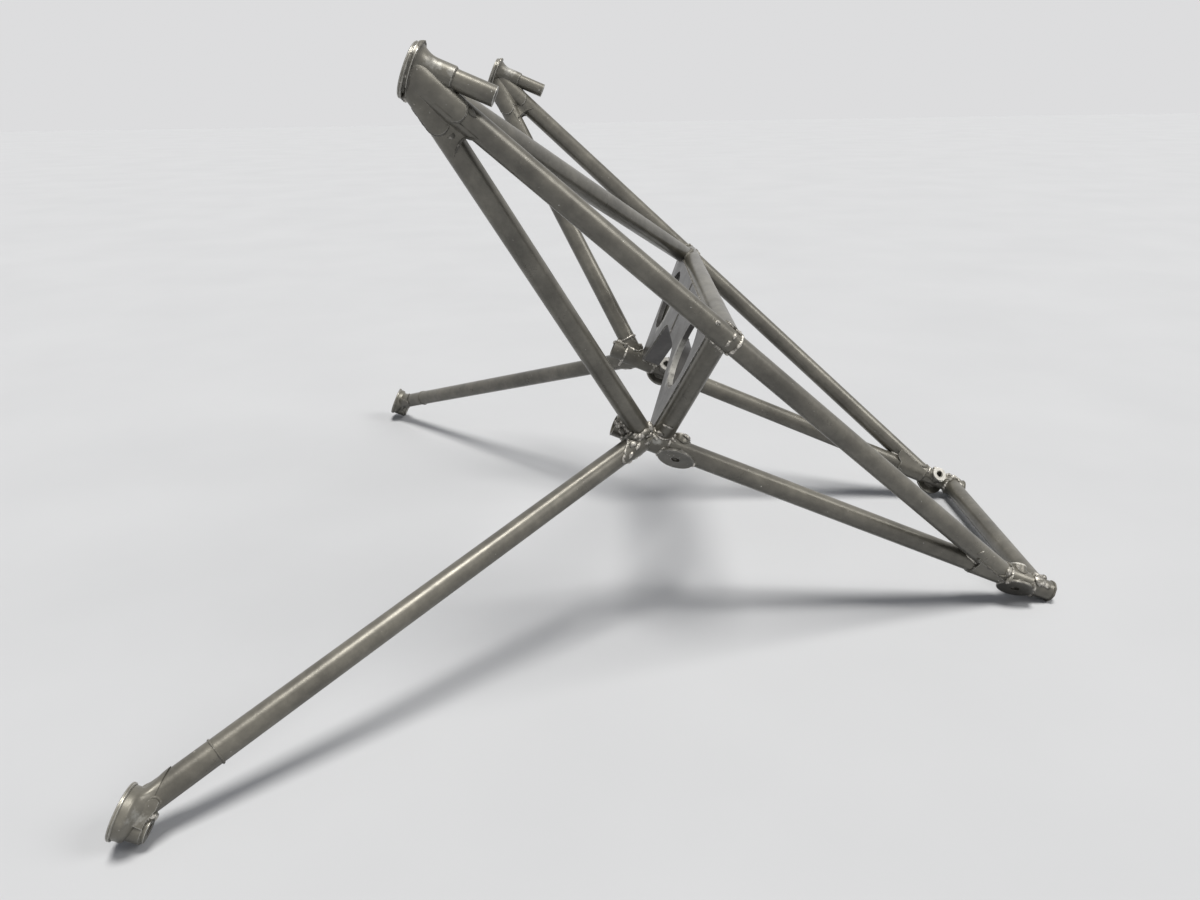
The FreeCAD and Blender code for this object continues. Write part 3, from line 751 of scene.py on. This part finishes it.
def fork_height(offset, half_gap, cover):
    """Height of the pinched sheet above the middle plane, at an offset from it between tubes."""
    near = half_gap - abs(offset)
    tube = math.sqrt(max(0.0, cover ** 2 - near ** 2)) if near < cover else 0.0
    return FORK_SOFT * math.log(math.exp(FORK_HALF / FORK_SOFT) + math.exp(tube / FORK_SOFT))


def make_forks(look, seam):
    """A pinched sheet web between the two fingers of each upper foot, with a weld along its end."""
    for name, side in SIDES:
        start = at(UPPER_FOOT, side)
        longeron = (at(NOSE_NODE, side) - start).normalized()
        diagonal = (at(BED_NODE, side) - start).normalized()
        middle = (longeron + diagonal).normalized()
        across = (longeron - diagonal).normalized()
        plane = middle.cross(across)
        spread = longeron.dot(across) / longeron.dot(middle)
        verts, faces = [], []
        for face in (1, -1):
            for i in range(FORK_STEPS + 1):
                for k in range(FORK_ACROSS + 1):
                    w = 2 * k / FORK_ACROSS - 1
                    reach = FORK_REACH + FORK_HOLLOW * w * w
                    s = FORK_START + (reach - FORK_START) * i / FORK_STEPS
                    half_gap = s * spread
                    offset = w * half_gap * FORK_SHARE
                    low = min(1.0, max(0.0, (s - FORK_FADE_START) / FORK_FADE))
                    cover = FORK_COVER + (FORK_LOW_COVER - FORK_COVER) * low
                    height = min(fork_height(offset, half_gap, cover), cover)
                    spot = start + middle * s + across * offset + plane * face * height
                    spot = rest(*spot)
                    dent = 0.0003 * noise.noise(spot * 160)
                    verts.append(inside_box(spot + turned(*(plane * face)) * dent))
        row = FORK_ACROSS + 1
        sheet = row * (FORK_STEPS + 1)
        for face in range(2):
            for i in range(FORK_STEPS):
                for k in range(FORK_ACROSS):
                    a = face * sheet + i * row + k
                    faces.append((a, a + 1, a + row + 1, a + row))
        last = FORK_STEPS * row
        for k in range(FORK_ACROSS):
            faces.append((last + k, last + k + 1, sheet + last + k + 1, sheet + last + k))
        add_piece("fork_web_" + name, verts, faces, look)
        for face in range(2):
            edge = [verts[face * sheet + last + k] for k in range(2, FORK_ACROSS - 1)]
            airs = [turned(*middle)] * len(edge)
            bead, bead_faces = [], []
            sweep_bead(bead, bead_faces, edge, airs, 0.0011, 0.0, 0.0022, 0.5, side + face)
            add_piece("weld_fork_%d_%s" % (face, name), bead, bead_faces, seam)


# Lumps of weld metal and worn nicks

def seen_at(px, py):
    """The point of the part that the photograph shows at a pixel, and its outward direction."""
    right, up, back = camera_axes()
    look = right * (px - PHOTO_CENTRE[0]) - up * (py - PHOTO_CENTRE[1]) - back * FOCAL_PIXELS
    hit, direction, _, _ = WHOLE.ray_cast(CAMERA_PLACE, look.normalized())
    if hit is not None and direction.dot(look) > 0:
        direction = -direction
    return hit, direction


def add_lump(verts, faces, place, out, along, size, seed):
    """A rough lump of weld metal half sunk in the surface: length, width and height in mm."""
    flat = (along - out * along.dot(out)).normalized()
    side = out.cross(flat)
    bm = bmesh.new()
    bmesh.ops.create_icosphere(bm, subdivisions=3, radius=1.0)
    start = len(verts)
    for vert in bm.verts:
        c = vert.co
        broad = noise.noise(c * 2.1 + Vector((seed, 7, 3)))
        fine = noise.noise(c * 6 + Vector((3, seed, 1)))
        swell = 1 + 0.35 * broad + 0.18 * fine
        spot = flat * c.x * size[0] / 2 + side * c.y * size[1] / 2 + out * c.z * size[2]
        verts.append(inside_box(place + spot * swell / 1000))
    faces += [[v.index + start for v in face.verts] for face in bm.faces]
    bm.free()


# Weld lumps by the pixel of the photograph where they show: length, width and height in mm, and
# the turn of the length against the picture's x axis in degrees. Each is put on both sides.
LUMPS = {
    "bare": (
        (650, 427, 12, 7, 3.6, 78), (640, 435, 10, 6, 3.6, -25), (655, 437, 8, 5, 2.6, 60),
        (618, 424, 9, 8, 1.2, 60), (668, 427, 12, 2.6, 1.6, 18), (638, 446, 9, 4, 1.8, -50),
        (631, 455, 8, 4, 1.6, -50), (672, 439, 10, 3, 1.4, 60), (687, 437, 9, 5, 1.4, 20),
        (1018, 567, 8, 5, 2.4, 80), (981, 553, 8, 2.6, 1.0, -25), (1035, 576, 7, 4, 2.6, 60),
        (718, 323, 6, 5, 1.8, 30), (728, 344, 7, 3.4, 1.5, -60), (157, 826, 9, 4, 1.6, -40)),
    "half": (
        (645, 433, 13, 8, 4.2, -30), (636, 437, 15, 9, 4.2, -10), (627, 438, 14, 8, 3.6, 0),
        (648, 441, 10, 7, 2.6, -30), (622, 432, 10, 6, 2.4, 60), (633, 444, 9, 6, 2.0, -40),
        (660, 434, 10, 6, 2.0, 20), (1040, 581, 14, 12, 2.8, 30), (1034, 587, 12, 7, 1.8, 60),
        (1009, 572, 12, 7, 2.6, -58), (1009, 580, 10, 6, 2.0, -60), (1047, 585, 10, 8, 1.2, 20),
        (735, 336, 8, 4, 1.4, -60), (152, 838, 8, 4, 1.8, -70)),
    "painted": (
        (459, 130, 9, 7, 2.0, 55), (472, 113, 9, 5, 1.4, 40), (452, 136, 8, 5, 1.2, -30)),
}


def make_lumps(looks):
    right = CAMERA_UP.cross(-CAMERA_LOOK).normalized()
    for look, rows in LUMPS.items():
        for name, side in SIDES:
            verts, faces = [], []
            for k, (px, py, length, width, height, turn) in enumerate(rows):
                place, out = seen_at(px, py)
                if place is None or place.y > 0:
                    continue
                angle = math.radians(turn)
                along = right * math.cos(angle) - CAMERA_UP * math.sin(angle)
                if side == LEFT:
                    place, out, along = (Vector((v.x, -v.y, v.z)) for v in (place, out, along))
                add_lump(verts, faces, place, out, along, (length, width, height), k * 3.7 + side)
            add_piece("weld_lumps_%s_%s" % (look, name), verts, faces, looks[look])


NICKS = 130


def make_nicks(look):
    """Small chips and weld spatter on the tubes, more of them near the joints."""
    tubes = []
    for _, side in SIDES:
        points = (UPPER_FOOT, BED_NODE, NOSE_NODE, LOWER_FOOT)
        rear, node, front, foot = (rest(*at(point, side)) for point in points)
        tubes += [(rear, front), (rear, node), (node, foot), (node, front)]
    verts, faces = [], []
    for k in range(NICKS):
        start, end = tubes[k % len(tubes)]
        line = (end - start).normalized()
        share = RNG.random() ** 2.2 * 0.5
        share = 1 - share if RNG.random() < 0.5 else share
        across = line.orthogonal().normalized()
        turn = RNG.uniform(0, 2 * math.pi)
        out = across * math.cos(turn) + line.cross(across) * math.sin(turn)
        spot = start.lerp(end, share)
        hit, direction, _, _ = WHOLE.ray_cast(spot + out * 0.05, -out, 0.05)
        if hit is None or direction.dot(out) < 0.5:
            continue
        size = (RNG.uniform(0.7, 2.4), RNG.uniform(0.5, 0.9), RNG.uniform(0.10, 0.3))
        length_way = line + out.cross(line) * RNG.uniform(-1, 1)
        add_lump(verts, faces, hit, direction, length_way, size, k * 1.3)
    add_piece("paint_nicks", verts, faces, look)


# Rubbed places on the sheet gussets: x, y, z and reach in metres
WORN_SPOTS = ((-0.185, -0.305, 0.573, 0.020), (-0.172, -0.304, 0.566, 0.014),
              (-0.185, 0.285, 0.572, 0.018), (-0.005, -0.168, 0.205, 0.012),
              (0.345, -0.158, 0.062, 0.014), (-0.415, -0.525, 0.035, 0.018))


# The near hole's lip in the web, made paler as a painted highlight where light falls into the hole, by pixel
# of the photograph, with its reach in metres
LIT_LIP_HIGHLIGHT = ((680, 346, 0.019), (678, 357, 0.021), (675, 368, 0.021), (671, 380, 0.018))


def lit_lip_highlight_spots():
    """The painted highlight on the hole lip of both webs, as points in the frame."""
    out = []
    for px, py, reach in LIT_LIP_HIGHLIGHT:
        place, _ = seen_at(px, py)
        if place is not None:
            out += [(place.x, side * place.y, place.z, reach) for side in (LEFT, RIGHT)]
    return out


def cad_looks():
    """One material for each material slot of the record."""
    return {
        "tube": paint("tube_paint", BRONZE, 0.0, (0.27, 0.39), None),
        "foot": paint("foot_paint", tuple(c * 1.15 for c in BRONZE), 0.03, (0.28, 0.44), (0.012, 0.045)),
        "gusset": paint("gusset_paint", BRONZE, 0.01, (0.31, 0.45), (0.05, 0.12), WORN_SPOTS),
        # Web paint: a darker, cooler grey than the bronze, whose cool tint is a painted reflection of a blue
        # surround on the rear-facing webs; the hole lips get a painted highlight.
        "web": paint("web_paint", (0.128, 0.122, 0.116), 0.01, (0.32, 0.45), (0.05, 0.12), lit_lip_highlight_spots()),
        "pad": paint("pad_paint", tuple(c * 0.9 for c in BRONZE), 0.03, (0.30, 0.46), (0.02, 0.06)),
        "washer": steel("washer_steel", (0.64, 0.62, 0.57), 0.44),
    }


def dress_cad(looks):
    slots = {row["node"]: row["material_slot"] for row in frame["record"]["subparts"]}
    for node, obj in frame["nodes"].items():
        mat = looks[slots[node]]
        for place in obj.material_slots:
            place.material = mat


make_camera()
make_stage()
make_lights()
LOOKS_OF_CAD = cad_looks()
dress_cad(LOOKS_OF_CAD)
LOOKS_OF_WELD = {
    "bare": weld("weld_bare", tuple(c * 0.7 for c in BRONZE), 0.80),
    "half": weld("weld_half", tuple(c * 0.8 for c in BRONZE), 0.58),
    "painted": weld("weld_painted", tuple(c * 0.85 for c in BRONZE), 0.16),
}
make_welds(LOOKS_OF_WELD)
make_rings(LOOKS_OF_WELD)
make_boots(LOOKS_OF_CAD["gusset"])
make_forks(LOOKS_OF_CAD["gusset"], LOOKS_OF_WELD["painted"])
make_lumps(LOOKS_OF_WELD)
make_nicks(LOOKS_OF_WELD["bare"])

bpy.context.scene.view_settings.view_transform = "Standard"
